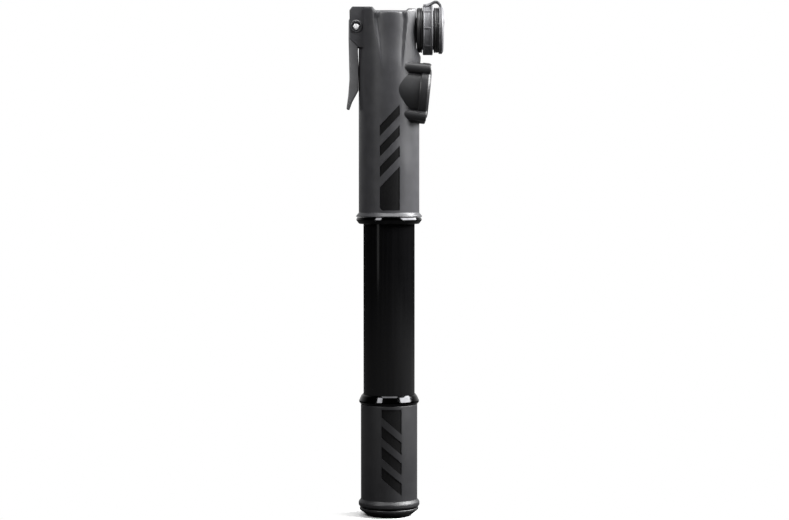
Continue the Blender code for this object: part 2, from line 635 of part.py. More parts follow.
def handle():
    """Handle sleeve with its collar and end plug, and the selector cap under them."""
    sleeve = [
        (HANDLE_RADIUS - 0.3 * MM, HANDLE_TOP), (HANDLE_RADIUS, HANDLE_TOP - 0.3 * MM),
        (HANDLE_RADIUS, 9.0 * MM), (16.7 * MM, 7.8 * MM), (16.8 * MM, 7.4 * MM),
        (16.8 * MM, 5.8 * MM), (16.4 * MM, HANDLE_BOTTOM), (HANDLE_BORE, HANDLE_BOTTOM),
        (HANDLE_BORE, HANDLE_TOP),
    ]
    turned("handle_sleeve", sleeve, "moulded_black", closed=True)
    collar = [
        (14.6 * MM, HANDLE_COLLAR_TOP), (16.3 * MM, HANDLE_TOP + 3.0 * MM),
        (16.5 * MM, HANDLE_TOP + 2.6 * MM), (16.5 * MM, HANDLE_TOP + 1.2 * MM),
        (15.7 * MM, HANDLE_TOP + GAP), (14.45 * MM, HANDLE_TOP + GAP),
        (14.45 * MM, HANDLE_COLLAR_TOP),
    ]
    turned("handle_collar", collar, "gloss_black", closed=True)
    plug = [
        (PLUG_RADIUS, PLUG_TOP), (PLUG_RADIUS, HANDLE_BOTTOM), (3.2 * MM, HANDLE_BOTTOM),
        (3.2 * MM, ROD_BOTTOM - GAP), (ROD_RADIUS + GAP, ROD_BOTTOM - GAP),
        (ROD_RADIUS + GAP, PLUG_TOP),
    ]
    turned("handle_end_plug", plug, "moulded_black", closed=True)
    selector()


def selector():
    """Selector cap that turns on the handle's end; its flat bottom is what the pump stands on."""
    cap = [
        (0, SELECTOR_TOP + 0.4 * MM), (STEM_RADIUS, SELECTOR_TOP + 0.4 * MM),
        (STEM_RADIUS, SELECTOR_TOP), (SELECTOR_RADIUS - 0.2 * MM, SELECTOR_TOP),
        (SELECTOR_RADIUS, 4.0 * MM), (SELECTOR_RADIUS, 3.4 * MM), (12.4 * MM, 0.3 * MM),
        (11.5 * MM, 0), (0, 0),
    ]
    dial = turned("selector_cap", cap, "moulded_black")
    scallops = []
    reach = SELECTOR_RADIUS + 0.8 * MM
    for i in range(SCALLOPS):
        angle = 2 * math.pi * i / SCALLOPS
        place = (reach * math.cos(angle), reach * math.sin(angle), 0)
        scallops.append(rod("scallop", 2.2 * MM, -1 * MM, 3.2 * MM, None, place, steps=12))
    combine(dial, "DIFFERENCE", *scallops)
    stem_bottom = SELECTOR_TOP + 0.4 * MM + GAP
    rod("selector_stem", STEM_RADIUS, stem_bottom, stem_bottom + 1.6 * MM, "brass")


PUMP, CUTTERS = empty_scene()
head_body()
lever()
chuck()
dust_cap()
gauge()
barrel()
piston()
handle()
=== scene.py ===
"""Visible surface of a bicycle mini pump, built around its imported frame.

The pump stands upright on its end cap: +Z runs up the barrel, the valve chuck and the
gauge point to +X, the thumb lever to -X. Sizes are in metres; MM turns millimetres
into metres. Angles round the barrel are counted from the front, towards +X.
"""
import json
import math

import bmesh
import bpy
from mathutils import Euler, Matrix, Vector

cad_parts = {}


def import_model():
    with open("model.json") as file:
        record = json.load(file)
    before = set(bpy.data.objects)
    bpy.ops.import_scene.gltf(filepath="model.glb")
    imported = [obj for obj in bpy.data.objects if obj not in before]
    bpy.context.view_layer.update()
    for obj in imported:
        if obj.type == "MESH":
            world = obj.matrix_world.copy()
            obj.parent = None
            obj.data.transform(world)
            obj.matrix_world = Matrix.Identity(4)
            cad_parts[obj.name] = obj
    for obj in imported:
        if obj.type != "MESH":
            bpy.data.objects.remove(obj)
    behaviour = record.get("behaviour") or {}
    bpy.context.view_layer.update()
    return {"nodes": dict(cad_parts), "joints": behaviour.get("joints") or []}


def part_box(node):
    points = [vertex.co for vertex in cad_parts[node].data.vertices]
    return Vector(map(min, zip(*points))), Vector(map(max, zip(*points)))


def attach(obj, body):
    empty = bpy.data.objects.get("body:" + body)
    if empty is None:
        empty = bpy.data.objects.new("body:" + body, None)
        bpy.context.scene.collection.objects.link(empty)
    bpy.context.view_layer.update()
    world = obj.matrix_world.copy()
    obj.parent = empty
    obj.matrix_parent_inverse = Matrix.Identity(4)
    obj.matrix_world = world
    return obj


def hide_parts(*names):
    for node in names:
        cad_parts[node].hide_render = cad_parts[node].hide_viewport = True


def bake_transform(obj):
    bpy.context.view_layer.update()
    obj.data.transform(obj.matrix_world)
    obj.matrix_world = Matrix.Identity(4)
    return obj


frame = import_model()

MM = 0.001
TAU = 2 * math.pi

ALONG_Z = Matrix.Identity(4)
ALONG_X = Matrix.Rotation(math.pi / 2, 4, "Y")
ALONG_Y = Matrix.Rotation(-math.pi / 2, 4, "X")


def joint(name):
    """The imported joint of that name."""
    return next(item for item in frame["joints"] if item["name"] == name)


# ---------------------------------------------------------------- places, from the frame

PIN = Vector(joint("lever_hinge")["pos_m"])
CHUCK = Vector((0, 0, joint("dust_ring_turn")["pos_m"][2]))
CAP_HINGE = Vector(joint("dust_cap_swing")["pos_m"])
GAUGE = Vector(joint("needle_turn")["pos_m"])
GAUGE_OUT = -Vector(joint("needle_turn")["axis"]).normalized()
GAUGE_TURN = Matrix.Rotation(math.atan2(GAUGE_OUT.x, GAUGE_OUT.z), 4, "Y")
AT_CHUCK = Matrix.Translation(CHUCK) @ ALONG_X
AT_PIN = Matrix.Translation(PIN) @ ALONG_Y
AT_GAUGE = Matrix.Translation(GAUGE) @ GAUGE_TURN

BARREL_LOW, BARREL_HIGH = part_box("barrel")
BARREL_RADIUS = BARREL_HIGH.x
HEAD_LOW, HEAD_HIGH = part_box("head_body")
LIP_RADIUS = HEAD_HIGH.y
BODY_RADIUS = LIP_RADIUS - 1.45 * MM
BODY_BORE = 14.4 * MM
SLEEVE_LOW, SLEEVE_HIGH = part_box("handle_sleeve")
HANDLE_RADIUS = 15.56 * MM

# Head
HEAD_FLAT_X = 14.9 * MM           # flat side behind the chuck nut
FLAT_BOTTOM = 256.6 * MM
LEDGE = 252.4 * MM                # the flat side flares out to this height
LEDGE_X = 17.4 * MM
HEAD_LEFT_TOP = 279.2 * MM        # top of the lever's block
HEAD_RIGHT_TOP = 278.1 * MM       # top of the chuck's block
HEAD_SADDLE_TOP = 276.9 * MM      # top of the recessed panel between them
SHAPED_FROM = 228                 # mm: rings from here up follow the flat side and the panel
SHAPED_PITCH = 0.7                # mm between them
SHAPED_RINGS = 65
RIM_TIGHT = 0.5 * MM              # rounding of the top's rim at the sides
RIM_WIDE = 2.0 * MM               # and at the front and back
EAR_HALF_WIDTH = 9.5 * MM
SLOT_HALF_WIDTH = 6.1 * MM
COLUMNS = 192                     # round the head
OFF_SEAM = Matrix.Rotation(math.radians(1.3), 4, "Z")     # a tool turned by one of these has
OFF_SEAM_TOO = Matrix.Rotation(math.radians(2.2), 4, "Z")  # no corner on another shape's corner

# Saddle: the recessed panel between the two blocks. Its edges and bevels are pairs in
# millimetres: the value at the bottom, and how much that grows over the spread.
SADDLE_BOTTOM = 242 * MM
SADDLE_FULL = 264 * MM            # full depth from here up
SADDLE_SPREAD = 35 * MM
SADDLE_DEPTH = 1.3 * MM
SADDLE_LEFT = (-3.8, -5.5)
SADDLE_RIGHT = (6.4, 2.6)
SADDLE_BEVEL = (0.9, 0.8)
SADDLE_LEFT_BEVEL = 1.25          # the left bevel is wider by this factor

# Grip stripes: a slanting band has its upper edge `rise` higher at its right end
HEAD_STRIPES = {"centre": 1.5, "half": 19.3, "first": 214.4 * MM, "pitch": 11.15 * MM,
                "rise": 11.5 * MM, "width": 5.8 * MM, "end": 168.4 * MM}
HANDLE_STRIPES = {"centre": 5.4, "half": 20.8, "first": 51.1 * MM, "pitch": 11.2 * MM,
                  "rise": -9.4 * MM, "width": 6.7 * MM, "end": 59.8 * MM}
STRIPE_CUT = 0.55 * MM            # depth of the recess
STRIPE_CLEAR = 1.2 * MM           # how far its cutter stands out of the surface
STRIPE_SUNK = 0.32 * MM           # how far the inlay lies below the surface
INLAY_LIFT = 0.02 * MM            # gap under the inlay
INLAY_GAP = 0.05 * MM             # gap above and below each band of the inlay
CORNER_ROUND = 2.0 * MM           # round corner of the head's last stripe
CORNER_SHARE = 0.18               # of the stripe's width

# Gauge
BOSS_Y = 11.5 * MM                # screw bosses, from the gauge's centre
BOSS_Z = 12.7 * MM
SCALE_START = -135                # degrees on the dial, clockwise from the top
SCALE_SWEEP = 270
SMALL_TICKS = 30
LONG_EVERY = 5                    # every fifth tick is long and has a number

# Camera and lights
CAMERA_PLACE = (0.003, -1.126, 0.185)
CAMERA_TIP = 2.24                 # degrees below level
FOCAL_LENGTH = 93.4               # millimetres, on a sensor 36 mm wide
SENSOR_WIDTH = 36
LIGHT_TARGET = Vector((0, 0, 0.2))
# Degrees from the camera's side towards +X, degrees up, metres away, width, height, watts
LIGHTS = {"key": (86, 33, 0.8, 0.9, 0.45, 38),
          "left": (-42, 31, 0.8, 0.26, 0.3, 4.0),
          "left_tall": (-50, 16, 0.8, 0.14, 0.8, 0.14),
          "top": (10, 82, 0.6, 0.5, 0.3, 3.2)}
FLOOR_FADE = (0.011, 0.035)       # radii between which the floor turns white


# ---------------------------------------------------------------- mesh helpers

def smoothstep(low, high, value):
    """0 below low, 1 above high, smooth between."""
    share = min(max((value - low) / (high - low), 0.0), 1.0)
    return share * share * (3 - 2 * share)


def rounded(points, closed=False, steps=5):
    """Outline with each (x, y, radius) corner replaced by an arc; (x, y) stays sharp."""
    result = []
    count = len(points)
    for i, point in enumerate(points):
        here = Vector(point[:2])
        if len(point) < 3 or (not closed and i in (0, count - 1)):
            result.append(tuple(here))
            continue
        back = Vector(points[i - 1][:2]) - here
        ahead = Vector(points[(i + 1) % count][:2]) - here
        half = back.angle(ahead) / 2
        reach = min(point[2] / math.tan(half), 0.49 * back.length, 0.49 * ahead.length)
        centre = here + (back.normalized() + ahead.normalized()).normalized() * reach / math.cos(half)
        start = here + back.normalized() * reach - centre
        end = here + ahead.normalized() * reach - centre
        first = math.atan2(start.y, start.x)
        sweep = (math.atan2(end.y, end.x) - first + math.pi) % TAU - math.pi
        for step in range(steps + 1):
            angle = first + sweep * step / steps
            result.append((centre.x + start.length * math.cos(angle),
                           centre.y + start.length * math.sin(angle)))
    return result


def outline(points, closed=False, steps=5):
    """Rounded outline whose places and radii are given in millimetres."""
    return rounded([[value * MM for value in point] for point in points], closed, steps)


def arc(centre, radius, start, end, steps):
    """Points of an arc, angles in degrees."""
    points = []
    for step in range(steps + 1):
        angle = math.radians(start + (end - start) * step / steps)
        points.append((centre[0] + radius * math.cos(angle), centre[1] + radius * math.sin(angle)))
    return points


def grid_faces(form, rings, closed):
    """Faces between neighbouring rings of vertices; a ring of one vertex is a pole."""
    pairs = list(zip(rings, rings[1:]))
    if closed:
        pairs.append((rings[-1], rings[0]))
    for one, two in pairs:
        count = max(len(one), len(two))
        for k in range(count):
            after = (k + 1) % count
            corners = [one[k % len(one)], two[k % len(two)]]
            if len(two) > 1:
                corners.append(two[after])
            if len(one) > 1:
                corners.append(one[after])
            form.faces.new(corners)


def turned_form(profile, steps=128, closed=False, at=ALONG_Z):
    """bmesh of a (radius, height) profile turned about local Z."""
    form = bmesh.new()
    rings = []
    for radius, height in profile:
        if radius < 1e-7:
            rings.append([form.verts.new((0, 0, height))])
            continue
        rings.append([form.verts.new((radius * math.cos(TAU * k / steps),
                                      radius * math.sin(TAU * k / steps), height))
                      for k in range(steps)])
    grid_faces(form, rings, closed)
    form.transform(at)
    bmesh.ops.recalc_face_normals(form, faces=form.faces)
    return form


def plate_form(outline, low_y, high_y, bevel=0.0, at=ALONG_Z):
    """bmesh of a flat (x, z) outline spanning low_y to high_y, its two rims rounded by bevel."""
    form = bmesh.new()
    face = form.faces.new([form.verts.new((x, low_y, z)) for x, z in outline])
    grown = bmesh.ops.extrude_face_region(form, geom=[face])
    moved = [item for item in grown["geom"] if isinstance(item, bmesh.types.BMVert)]
    bmesh.ops.translate(form, vec=(0, high_y - low_y, 0), verts=moved)
    bmesh.ops.recalc_face_normals(form, faces=form.faces)
    if bevel:
        rims = [edge for edge in form.edges
                if abs(edge.verts[0].co.y - edge.verts[1].co.y) < 1e-9]
        bmesh.ops.bevel(form, geom=rims, offset=bevel, offset_type="OFFSET", segments=3,
                        profile=0.5, affect="EDGES", clamp_overlap=True)
    form.transform(at)
    return form


def flat_form(outline, low, high, bevel=0.0, at=ALONG_Z):
    """bmesh of a flat (x, y) outline spanning low to high on local Z."""
    lay = Matrix.Rotation(-math.pi / 2, 4, "X")
    return plate_form(outline, -high, -low, bevel, at @ lay)


def join_forms(forms):
    """One bmesh that holds all of them."""
    whole = bmesh.new()
    for form in forms:
        mesh = bpy.data.meshes.new("part")
        form.to_mesh(mesh)
        form.free()
        whole.from_mesh(mesh)
        bpy.data.meshes.remove(mesh)
    return whole


def make(name, form, crease=32):
    """Object from a bmesh, shaded smooth with its sharp edges kept."""
    mesh = bpy.data.meshes.new(name)
    form.to_mesh(mesh)
    form.free()
    thing = bpy.data.objects.new(name, mesh)
    bpy.context.scene.collection.objects.link(thing)
    mesh.shade_smooth()
    mesh.set_sharp_from_angle(angle=math.radians(crease))
    return thing


def close_gaps(mesh):
    """Fill the slivers that an exact Boolean can drop, so that the skin is closed."""
    form = bmesh.new()
    form.from_mesh(mesh)
    gaps = [edge for edge in form.edges if edge.is_boundary]
    if gaps:
        bmesh.ops.holes_fill(form, edges=gaps, sides=0)
    form.to_mesh(mesh)
    form.free()


def cut(thing, steps, crease=32):
    """Apply exact Booleans in order: each step is (operation, form)."""
    for operation, form in steps:
        tool = make("tool", form)
        modifier = thing.modifiers.new("cut", "BOOLEAN")
        modifier.operation = operation
        modifier.solver = "EXACT"
        modifier.object = tool
        weld = thing.modifiers.new("weld", "WELD")
        weld.merge_threshold = 0.002 * MM
        graph = bpy.context.evaluated_depsgraph_get()
        mesh = bpy.data.meshes.new_from_object(thing.evaluated_get(graph))
        thing.modifiers.clear()
        thing.data = mesh
        bpy.data.objects.remove(tool)
    close_gaps(thing.data)
    thing.data.shade_smooth()
    thing.data.set_sharp_from_angle(angle=math.radians(crease))
    return thing


def place(thing, look, body, slot, *nodes):
    """Give a piece its material and body, and let it stand for the CAD nodes; the slot argument is not
    used.
    """
    thing.data.materials.clear()
    thing.data.materials.append(look)
    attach(thing, body)
    if nodes:
        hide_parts(*nodes)
    return thing


# ---------------------------------------------------------------- materials

def shader_material(name, roughness, metallic=0.0):
    """A Principled material and its parts: (material, node tree, shader, object coordinates)."""
    made = bpy.data.materials.new(name)
    made.use_nodes = True
    tree = made.node_tree
    shader = tree.nodes["Principled BSDF"]
    shader.inputs["Roughness"].default_value = roughness
    shader.inputs["Metallic"].default_value = metallic
    coordinates = tree.nodes.new("ShaderNodeTexCoord")
    return made, tree, shader, coordinates.outputs["Object"]


def noise(tree, vector, scale, detail=3.0, stretch=None):
    """Noise value, scale in repeats per metre, optionally stretched along the axes."""
    if stretch:
        mapping = tree.nodes.new("ShaderNodeMapping")
        mapping.inputs["Scale"].default_value = stretch
        tree.links.new(vector, mapping.inputs["Vector"])
        vector = mapping.outputs["Vector"]
    node = tree.nodes.new("ShaderNodeTexNoise")
    node.inputs["Scale"].default_value = scale
    node.inputs["Detail"].default_value = detail
    tree.links.new(vector, node.inputs["Vector"])
    return node.outputs["Fac"]


def span(tree, value, low, high, start=0.3, end=0.7):
    """Map a noise value onto low to high."""
    node = tree.nodes.new("ShaderNodeMapRange")
    node.inputs["From Min"].default_value = start
    node.inputs["From Max"].default_value = end
    node.inputs["To Min"].default_value = low
    node.inputs["To Max"].default_value = high
    tree.links.new(value, node.inputs["Value"])
    return node.outputs["Result"]


def two_tone(tree, value, dark, light):
    """Colour between two shades, by a noise value."""
    node = tree.nodes.new("ShaderNodeValToRGB")
    node.color_ramp.elements[0].position = 0.35
    node.color_ramp.elements[0].color = (*dark, 1)
    node.color_ramp.elements[1].position = 0.65
    node.color_ramp.elements[1].color = (*light, 1)
    tree.links.new(value, node.inputs["Fac"])
    return node.outputs["Color"]


def bump(tree, shader, value, height, strength=1.0):
    """Drive the shader's normal with a height texture, height in metres."""
    node = tree.nodes.new("ShaderNodeBump")
    node.inputs["Distance"].default_value = height
    node.inputs["Strength"].default_value = strength
    tree.links.new(value, node.inputs["Height"])
    tree.links.new(node.outputs["Normal"], shader.inputs["Normal"])


def moulded(name, shade, roughness, grain=0.018 * MM, spread=0.10):
    """Moulded plastic: spark-eroded grain, slight mottling, uneven sheen from handling."""
    made, tree, shader, coordinates = shader_material(name, roughness)
    mottle = noise(tree, coordinates, 180, 4)
    dark = tuple(channel * (1 - spread) for channel in shade)
    light = tuple(channel * (1 + spread) for channel in shade)
    tree.links.new(two_tone(tree, mottle, dark, light), shader.inputs["Base Color"])
    handled = noise(tree, coordinates, 60, 5)
    sheen = span(tree, handled, roughness - 0.05, roughness + 0.06)
    tree.links.new(sheen, shader.inputs["Roughness"])
    bump(tree, shader, noise(tree, coordinates, 2600, 2), grain, 0.6)
    return made


def gloss_anodised():
    """Polished black anodised tube: faint draw lines along it, and fine hairlines."""
    made, tree, shader, coordinates = shader_material("gloss_anodised", 0.13)
    shader.inputs["Coat Weight"].default_value = 0.25
    shader.inputs["Coat Roughness"].default_value = 0.05
    drawn = noise(tree, coordinates, 900, 3, stretch=(1, 1, 0.02))
    tree.links.new(two_tone(tree, drawn, (0.0018, 0.0018, 0.0020), (0.0032, 0.0032, 0.0035)),
                   shader.inputs["Base Color"])
    tree.links.new(span(tree, noise(tree, coordinates, 70, 4), 0.10, 0.17),
                   shader.inputs["Roughness"])
    bump(tree, shader, drawn, 0.0015 * MM, 0.25)
    return made


def dark_chrome():
    """Polished dark plating of the two collars."""
    made, tree, shader, coordinates = shader_material("dark_chrome", 0.08, 1.0)
    tree.links.new(two_tone(tree, noise(tree, coordinates, 400, 3), (0.019, 0.019, 0.020),
                            (0.026, 0.026, 0.027)), shader.inputs["Base Color"])
    tree.links.new(span(tree, noise(tree, coordinates, 120, 3), 0.06, 0.11),
                   shader.inputs["Roughness"])
    bump(tree, shader, noise(tree, coordinates, 1500, 2), 0.0006 * MM, 0.3)
    return made


def grip_rubber():
    """Black inlay with a fine pebbled surface."""
    made, tree, shader, coordinates = shader_material("grip_rubber", 0.7)
    shader.inputs["Specular IOR Level"].default_value = 0.1
    cells = tree.nodes.new("ShaderNodeTexVoronoi")
    cells.inputs["Scale"].default_value = 1500
    tree.links.new(coordinates, cells.inputs["Vector"])
    tree.links.new(two_tone(tree, cells.outputs["Distance"], (0.0025, 0.0025, 0.0026),
                            (0.0045, 0.0045, 0.0048)), shader.inputs["Base Color"])
    tree.links.new(span(tree, noise(tree, coordinates, 120, 3), 0.55, 0.70),
                   shader.inputs["Roughness"])
    bump(tree, shader, cells.outputs["Distance"], 0.05 * MM, 0.5)
    return made


def soft_grey():
    """Light grey thermoplastic rubber, slightly translucent, with a satin grain."""
    made, tree, shader, coordinates = shader_material("soft_grey", 0.5)
    shader.inputs["Subsurface Weight"].default_value = 0.12
    shader.inputs["Subsurface Radius"].default_value = (0.6, 0.6, 0.6)
    shader.inputs["Subsurface Scale"].default_value = 0.8 * MM
    tree.links.new(two_tone(tree, noise(tree, coordinates, 300, 4), (0.076, 0.076, 0.081),
                            (0.095, 0.095, 0.101)), shader.inputs["Base Color"])
    tree.links.new(span(tree, noise(tree, coordinates, 90, 3), 0.42, 0.56),
                   shader.inputs["Roughness"])
    bump(tree, shader, noise(tree, coordinates, 2200, 2), 0.005 * MM, 0.4)
    return made


def metal(name, shade, roughness, stretch, metallic=1.0):
    """Turned or drawn metal: fine lines, with small changes of tone between them."""
    made, tree, shader, coordinates = shader_material(name, roughness, metallic)
    lines = noise(tree, coordinates, 3000, 3, stretch=stretch)
    dark = tuple(channel * 0.85 for channel in shade)
    tree.links.new(two_tone(tree, lines, dark, shade), shader.inputs["Base Color"])
    tree.links.new(span(tree, lines, roughness * 0.8, roughness * 1.3),
                   shader.inputs["Roughness"])
    bump(tree, shader, lines, 0.002 * MM, 0.4)
    return made


def clear_lens():
    """Clear polycarbonate with the faintest ripple."""
    made, tree, shader, coordinates = shader_material("clear_lens", 0.03)
    shader.inputs["Base Color"].default_value = (0.97, 0.98, 0.98, 1)
    shader.inputs["Transmission Weight"].default_value = 1.0
    shader.inputs["IOR"].default_value = 1.5
    tree.links.new(span(tree, noise(tree, coordinates, 150, 2), 0.02, 0.05),
                   shader.inputs["Roughness"])
    bump(tree, shader, noise(tree, coordinates, 120, 2), 0.003 * MM, 0.2)
    return made


MOULDED_GREY = moulded("moulded_grey", (0.038, 0.038, 0.041), 0.36)
LEVER_GREY = moulded("lever_grey", (0.15, 0.15, 0.155), 0.45)
MOULDED_BLACK = moulded("moulded_black", (0.014, 0.014, 0.015), 0.40)
HANDLE_BLACK = moulded("handle_black", (0.013, 0.013, 0.0145), 0.46)
GLOSS_BLACK = gloss_anodised()
DARK_CHROME = dark_chrome()
GRIP_RUBBER = grip_rubber()
SOFT_GREY = soft_grey()
SEAL_RUBBER = moulded("seal_rubber", (0.010, 0.010, 0.010), 0.68, 0.03 * MM)
STEEL = metal("steel", (0.72, 0.72, 0.73), 0.22, (1, 1, 0.03))
PIN_STEEL = metal("pin_steel", (0.92, 0.92, 0.93), 0.42, (1, 0.1, 1), 0.35)
BRASS = metal("brass", (0.70, 0.50, 0.22), 0.30, (1, 1, 1))
CLEAR = clear_lens()
DIAL_WHITE = moulded("dial_white", (0.78, 0.78, 0.76), 0.45, 0.004 * MM, 0.02)
PRINT_BLACK = moulded("print_black", (0.012, 0.012, 0.012), 0.5, 0.002 * MM)
NEEDLE_RED = moulded("needle_red", (0.60, 0.03, 0.02), 0.32, 0.002 * MM, 0.04)


# ---------------------------------------------------------------- grip stripes

def band(form, rule, low_left, high_left, low_right, high_right, inner, outer, turn, corner=0):
    """One curved patch of a stripe between two radii, its edges straight when unrolled."""
    columns = 28
    rings = []
    for i in range(columns + 1):
        share = i / columns
        angle = math.radians(rule["centre"] - rule["half"] + 2 * rule["half"] * share + turn - 90)
        low = low_left + (low_right - low_left) * share
        high = high_left + (high_right - high_left) * share
        if share < corner:
            low += CORNER_ROUND * (1 - math.sqrt(1 - (1 - share / corner) ** 2))
        side = Vector((math.cos(angle), math.sin(angle), 0))
        rings.append([form.verts.new(side * radius + Vector((0, 0, height)))
                      for radius, height in ((inner, low), (outer, low), (outer, high),
                                             (inner, high))])
    grid_faces(form, rings, False)
    form.faces.new(rings[0])
    form.faces.new(rings[-1])


def stripes_form(rule, inner, outer, shrink=0.0):
    """Three slanting bands and an end block, on the front and again on the back."""
    form = bmesh.new()
    for turn in (0, 180):
        for i in range(3):
            top = rule["first"] - rule["pitch"] * i - shrink
            low = top - rule["width"] + 2 * shrink
            band(form, rule, low, top, low + rule["rise"], top + rule["rise"], inner, outer, turn)
        if rule["rise"] > 0:
            top = rule["first"] - rule["pitch"] * 3 - shrink
            low = rule["end"] + shrink
            band(form, rule, low, top, low, top + rule["rise"], inner, outer, turn,
                 CORNER_SHARE)
        else:
            low = rule["first"] + rule["pitch"] - rule["width"] + shrink
            top = rule["end"] - shrink
            band(form, rule, low, top, low + rule["rise"], top, inner, outer, turn)
    bmesh.ops.recalc_face_normals(form, faces=form.faces)
    return form


def stripe_cutter(rule, radius):
    """Cutter of the recesses in a round wall of that radius."""
    return stripes_form(rule, radius - STRIPE_CUT, radius + STRIPE_CLEAR)


def stripe_inlays(name, rule, radius, body):
    """Pebbled inlays in the recesses, a little below the wall's surface."""
    form = stripes_form(rule, radius - STRIPE_CUT + INLAY_LIFT, radius - STRIPE_SUNK, INLAY_GAP)
    place(make(name, form), GRIP_RUBBER, body, "moulded_black")


# ---------------------------------------------------------------- head

def flat_limit(z):
    """How far the head may reach towards +X at a height."""
    slope = min(max((z - LEDGE) / (FLAT_BOTTOM - LEDGE), 0), 1)
    return HEAD_FLAT_X + (1 - slope) * (LEDGE_X - HEAD_FLAT_X)


def saddle(x, z):
    """Share of the saddle recess at a place: 1 inside it, 0 outside, bevels between."""
    share = min(max((z - SADDLE_BOTTOM) / SADDLE_SPREAD, 0), 1)
    left, right, bevel = ((start + growth * share) * MM
                          for start, growth in (SADDLE_LEFT, SADDLE_RIGHT, SADDLE_BEVEL))
    from_left = smoothstep(left, left + SADDLE_LEFT_BEVEL * bevel, x)
    across = from_left * (1 - smoothstep(right, right + bevel, x))
    return across * smoothstep(SADDLE_BOTTOM, SADDLE_FULL, z)


def head_radius(angle, z):
    """Outer radius of the head at an angle and height, with its flat side and saddle."""
    x_unit = math.cos(angle)
    swell = smoothstep(LEDGE - 7 * MM, LEDGE - 1 * MM, z) * smoothstep(0.55, 0.95, x_unit)
    radius = BODY_RADIUS + (LEDGE_X - BODY_RADIUS) * swell
    if x_unit * radius > flat_limit(z):
        radius = flat_limit(z) / x_unit
    return radius - SADDLE_DEPTH * saddle(radius * x_unit, z)


def head_form():
    """Head and sleeve as one closed surface, from the bore, round the lip, to the top."""
    bore_top = BARREL_HIGH.z + 0.3 * MM
    lip = rounded([(BODY_BORE, bore_top), (BODY_BORE, HEAD_LOW.z),
                   (LIP_RADIUS, HEAD_LOW.z, 0.2 * MM), (LIP_RADIUS, HEAD_LOW.z + 0.5 * MM, 0.3 * MM),
                   (BODY_RADIUS, HEAD_LOW.z + 2.2 * MM, 0.5 * MM),
                   (BODY_RADIUS, HEAD_LOW.z + 3.0 * MM)])
    form = bmesh.new()
    angles = [TAU * k / COLUMNS for k in range(COLUMNS)]
    rings = [[form.verts.new((0, 0, bore_top))]]
    for radius, height in lip:
        rings.append([form.verts.new((radius * math.cos(a), radius * math.sin(a), height))
                      for a in angles])
    for i in range(SHAPED_RINGS):
        height = (SHAPED_FROM + SHAPED_PITCH * i) * MM
        rings.append([form.verts.new((head_radius(a, height) * math.cos(a),
                                      head_radius(a, height) * math.sin(a), height))
                      for a in angles])
    for step in range(9):
        bend = math.pi / 2 * step / 8
        inward = 1 - math.cos(bend)
        drop = 1 - math.sin(bend)
        rings.append([head_top(form, a, head_radius(a, SADDLE_FULL) - rim_round(a) * inward,
                               rim_round(a) * drop) for a in angles])
    for step in range(15):
        share = 0.92 - 0.06 * step
        rings.append([head_top(form, a, (head_radius(a, SADDLE_FULL) - rim_round(a)) * share, 0)
                      for a in angles])
    rings.append([head_top(form, 0, 0, 0)])
    grid_faces(form, rings, False)
    bmesh.ops.recalc_face_normals(form, faces=form.faces)
    return form


def rim_round(angle):
    """Rounding radius of the top's rim at an angle."""
    return RIM_TIGHT + (RIM_WIDE - RIM_TIGHT) * smoothstep(0.35, 0.85, abs(math.sin(angle)))


def head_top(form, angle, radius, drop):
    """Vertex on the head's top at a radius, below the top surface by drop."""
    x = radius * math.cos(angle)
    outside = HEAD_RIGHT_TOP if x > 0 else HEAD_LEFT_TOP - 0.25 * MM
    height = outside + (HEAD_SADDLE_TOP - outside) * saddle(x, HEAD_SADDLE_TOP) - drop
    return form.verts.new((x, radius * math.sin(angle), height))


def head():
    """Head and sleeve with the lever's ears, the chuck's neck and the stripe recesses."""
    body = make("head_shell", head_form(), 40)
    ears = plate_form(rounded([
        (-21.2 * MM, 261.4 * MM, 0.8 * MM), (-16.3 * MM, 257.0 * MM, 1.0 * MM),
        (-11.0 * MM, 256.6 * MM), (-10.6 * MM, 270 * MM), (-9.7 * MM, HEAD_LEFT_TOP, 0.6 * MM),
        (-20.0 * MM, HEAD_LEFT_TOP, 0.8 * MM), (-21.5 * MM, 277.2 * MM, 0.8 * MM),
        (-21.4 * MM, 270.0 * MM),
    ], True), -EAR_HALF_WIDTH, EAR_HALF_WIDTH, 0.35 * MM)
    boss = turned_form(outline([
        (0, 10.2), (3.0, 10.2, 0.3), (3.6, 9.7, 0.3),
        (3.6, -9.7, 0.3), (3.0, -10.2, 0.3), (0, -10.2),
    ]), 64, at=AT_PIN)
    neck = turned_form([(0, 24.4 * MM), (8.8 * MM, 24.4 * MM), (8.8 * MM, 15.8 * MM),
                        (7.0 * MM, 15.4 * MM), (7.0 * MM, 9 * MM), (0, 9 * MM)], 64,
                       at=AT_CHUCK @ OFF_SEAM)
    slot = plate_form(arc((PIN.x, PIN.z), 6.3 * MM, -80, 80, 24) + [
        (-17.0 * MM, 274.9 * MM), (-30 * MM, 274.9 * MM), (-30 * MM, 250 * MM),
        (-16.75 * MM, 250 * MM),
    ], -SLOT_HALF_WIDTH, SLOT_HALF_WIDTH)
    pin_hole = turned_form([(0, 12 * MM), (2.45 * MM, 12 * MM), (2.45 * MM, -12 * MM),
                            (0, -12 * MM)], 48, at=AT_PIN @ OFF_SEAM)
    bore = turned_form([(0, 30 * MM), (5.6 * MM, 30 * MM), (5.6 * MM, -14 * MM), (0, -14 * MM)],
                       60, at=AT_CHUCK @ OFF_SEAM_TOO)
    recesses = stripe_cutter(HEAD_STRIPES, BODY_RADIUS)
    cut(body, [("UNION", ears), ("UNION", boss), ("DIFFERENCE", slot),
               ("DIFFERENCE", pin_hole), ("DIFFERENCE", recesses), ("UNION", neck),
               ("DIFFERENCE", bore)])
    place(body, MOULDED_GREY, "pump_head", "moulded_grey", "head_body")
    stripe_inlays("head_grip_inlays", HEAD_STRIPES, BODY_RADIUS, "pump_head")


# ---------------------------------------------------------------- lever

